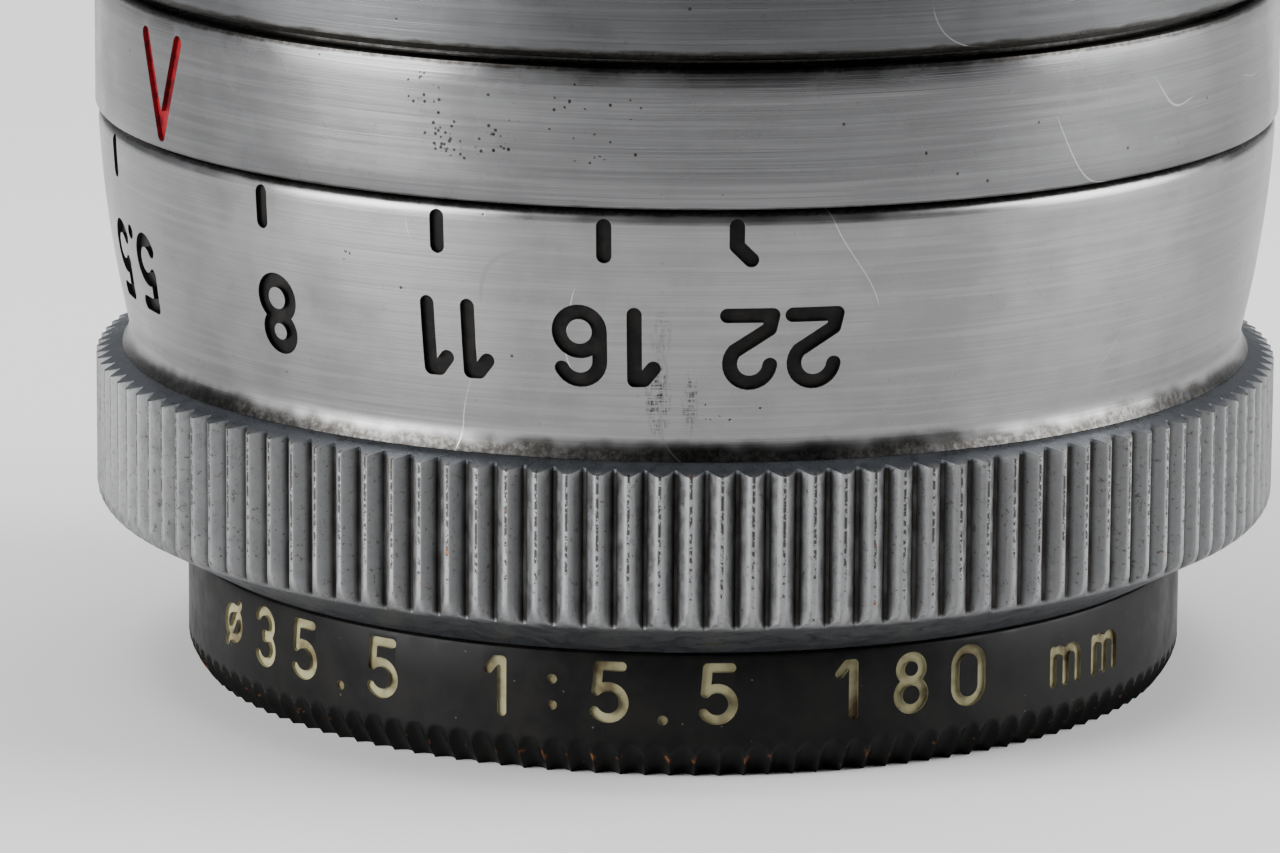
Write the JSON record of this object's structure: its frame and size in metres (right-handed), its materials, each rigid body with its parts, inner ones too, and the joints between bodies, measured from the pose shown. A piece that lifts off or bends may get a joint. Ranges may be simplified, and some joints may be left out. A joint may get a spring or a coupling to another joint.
{
  "type": "camera lens",
  "caption": "Manual portrait lens with knurled aperture ring, iris, helicoid focusing ring and threaded rear mount, standing on its front rim.",
  "frame": {"origin": "centre of the front rim's plane, which the lens stands on", "axes": "+Z along the optical axis towards the camera mount; the aperture scale faces -Y"},
  "size_m": [0.0592, 0.0592, 0.1085],
  "materials": {
    "satin_aluminium": "satin turned aluminium, worn",
    "black_painted_brass": "black paint over brass, worn at the edge",
    "helicoid_brass": "greased turned brass",
    "flat_black": "flat black anodised",
    "blade_steel": "blued spring steel",
    "screw_steel": "dull steel",
    "mount_chrome": "satin chromed brass",
    "optical_glass": "polished, thin blue coating"
  },
  "bodies": {
    "mount": {"mount_barrel": "satin_aluminium", "guide_sleeve": "helicoid_brass", "rear_baffle": "flat_black", "mount_thread_ring": "mount_chrome", "mount_screws": "screw_steel"},
    "focus": {"focus_ring": "satin_aluminium", "focus_keeper_screws": "screw_steel", "focus_stop_pin": "screw_steel"},
    "lens_unit": {"lens_tube": "satin_aluminium", "front_name_ring": "black_painted_brass", "index_ring": "satin_aluminium", "index_ring_screws": "screw_steel", "lens_helicoid": "helicoid_brass", "guide_keys": "helicoid_brass", "guide_key_screws": "screw_steel", "tube_baffle": "flat_black", "front_cell": "flat_black", "front_crown_element": "optical_glass", "front_flint_element": "optical_glass", "front_retaining_ring": "flat_black", "iris_base_plate": "flat_black", "iris_retaining_ring": "flat_black", "rear_cell": "flat_black", "rear_negative_element": "optical_glass", "rear_positive_element": "optical_glass", "rear_retaining_ring": "flat_black"},
    "aperture": {"aperture_ring": "satin_aluminium", "aperture_coupling_screw": "screw_steel", "iris_drive_ring": "helicoid_brass"},
    "blade_01": {"iris_blade_01": "blade_steel"},
    "blade_02": {"iris_blade_02": "blade_steel"},
    "blade_03": {"iris_blade_03": "blade_steel"},
    "blade_04": {"iris_blade_04": "blade_steel"},
    "blade_05": {"iris_blade_05": "blade_steel"},
    "blade_06": {"iris_blade_06": "blade_steel"},
    "blade_07": {"iris_blade_07": "blade_steel"},
    "blade_08": {"iris_blade_08": "blade_steel"},
    "blade_09": {"iris_blade_09": "blade_steel"},
    "blade_10": {"iris_blade_10": "blade_steel"},
    "blade_11": {"iris_blade_11": "blade_steel"},
    "blade_12": {"iris_blade_12": "blade_steel"}
  },
  "joints": [
    {"name": "focus_turn", "type": "hinge", "parent": "mount", "child": "focus", "pos_m": [0, 0, 0.07], "axis": [0, 0, 1], "range_deg": [0, 280]},
    {"name": "focus_travel", "type": "slide", "parent": "mount", "child": "lens_unit", "axis": [0, 0, -1], "range_m": [0, 0.014]},
    {"name": "aperture_turn", "type": "hinge", "parent": "lens_unit", "child": "aperture", "pos_m": [0, 0, 0.015], "axis": [0, 0, 1], "range_deg": [-63.8, 13.7]},
    {"name": "blade_01_pivot", "type": "hinge", "parent": "lens_unit", "child": "blade_01", "pos_m": [0.0194, 0, 0.0145], "axis": [0, 0, 1], "range_deg": [-27, 6]},
    {"name": "blade_02_pivot", "type": "hinge", "parent": "lens_unit", "child": "blade_02", "pos_m": [0.0168, 0.0097, 0.0145], "axis": [0, 0, 1], "range_deg": [-27, 6]},
    {"name": "blade_03_pivot", "type": "hinge", "parent": "lens_unit", "child": "blade_03", "pos_m": [0.0097, 0.0168, 0.0145], "axis": [0, 0, 1], "range_deg": [-27, 6]},
    {"name": "blade_04_pivot", "type": "hinge", "parent": "lens_unit", "child": "blade_04", "pos_m": [0, 0.0194, 0.0145], "axis": [0, 0, 1], "range_deg": [-27, 6]},
    {"name": "blade_05_pivot", "type": "hinge", "parent": "lens_unit", "child": "blade_05", "pos_m": [-0.0097, 0.0168, 0.0145], "axis": [0, 0, 1], "range_deg": [-27, 6]},
    {"name": "blade_06_pivot", "type": "hinge", "parent": "lens_unit", "child": "blade_06", "pos_m": [-0.0168, 0.0097, 0.0145], "axis": [0, 0, 1], "range_deg": [-27, 6]},
    {"name": "blade_07_pivot", "type": "hinge", "parent": "lens_unit", "child": "blade_07", "pos_m": [-0.0194, 0, 0.0145], "axis": [0, 0, 1], "range_deg": [-27, 6]},
    {"name": "blade_08_pivot", "type": "hinge", "parent": "lens_unit", "child": "blade_08", "pos_m": [-0.0168, -0.0097, 0.0145], "axis": [0, 0, 1], "range_deg": [-27, 6]},
    {"name": "blade_09_pivot", "type": "hinge", "parent": "lens_unit", "child": "blade_09", "pos_m": [-0.0097, -0.0168, 0.0145], "axis": [0, 0, 1], "range_deg": [-27, 6]},
    {"name": "blade_10_pivot", "type": "hinge", "parent": "lens_unit", "child": "blade_10", "pos_m": [0, -0.0194, 0.0145], "axis": [0, 0, 1], "range_deg": [-27, 6]},
    {"name": "blade_11_pivot", "type": "hinge", "parent": "lens_unit", "child": "blade_11", "pos_m": [0.0097, -0.0168, 0.0145], "axis": [0, 0, 1], "range_deg": [-27, 6]},
    {"name": "blade_12_pivot", "type": "hinge", "parent": "lens_unit", "child": "blade_12", "pos_m": [0.0168, -0.0097, 0.0145], "axis": [0, 0, 1], "range_deg": [-27, 6]}
  ],
  "couplings": [
    {"joint": "focus_travel", "follows": "focus_turn", "m_per_rad": 0.0028648},
    {"joint": "blade_01_pivot", "follows": "aperture_turn", "ratio": 0.42006},
    {"joint": "blade_02_pivot", "follows": "aperture_turn", "ratio": 0.42006},
    {"joint": "blade_03_pivot", "follows": "aperture_turn", "ratio": 0.42006},
    {"joint": "blade_04_pivot", "follows": "aperture_turn", "ratio": 0.42006},
    {"joint": "blade_05_pivot", "follows": "aperture_turn", "ratio": 0.42006},
    {"joint": "blade_06_pivot", "follows": "aperture_turn", "ratio": 0.42006},
    {"joint": "blade_07_pivot", "follows": "aperture_turn", "ratio": 0.42006},
    {"joint": "blade_08_pivot", "follows": "aperture_turn", "ratio": 0.42006},
    {"joint": "blade_09_pivot", "follows": "aperture_turn", "ratio": 0.42006},
    {"joint": "blade_10_pivot", "follows": "aperture_turn", "ratio": 0.42006},
    {"joint": "blade_11_pivot", "follows": "aperture_turn", "ratio": 0.42006},
    {"joint": "blade_12_pivot", "follows": "aperture_turn", "ratio": 0.42006}
  ]
}
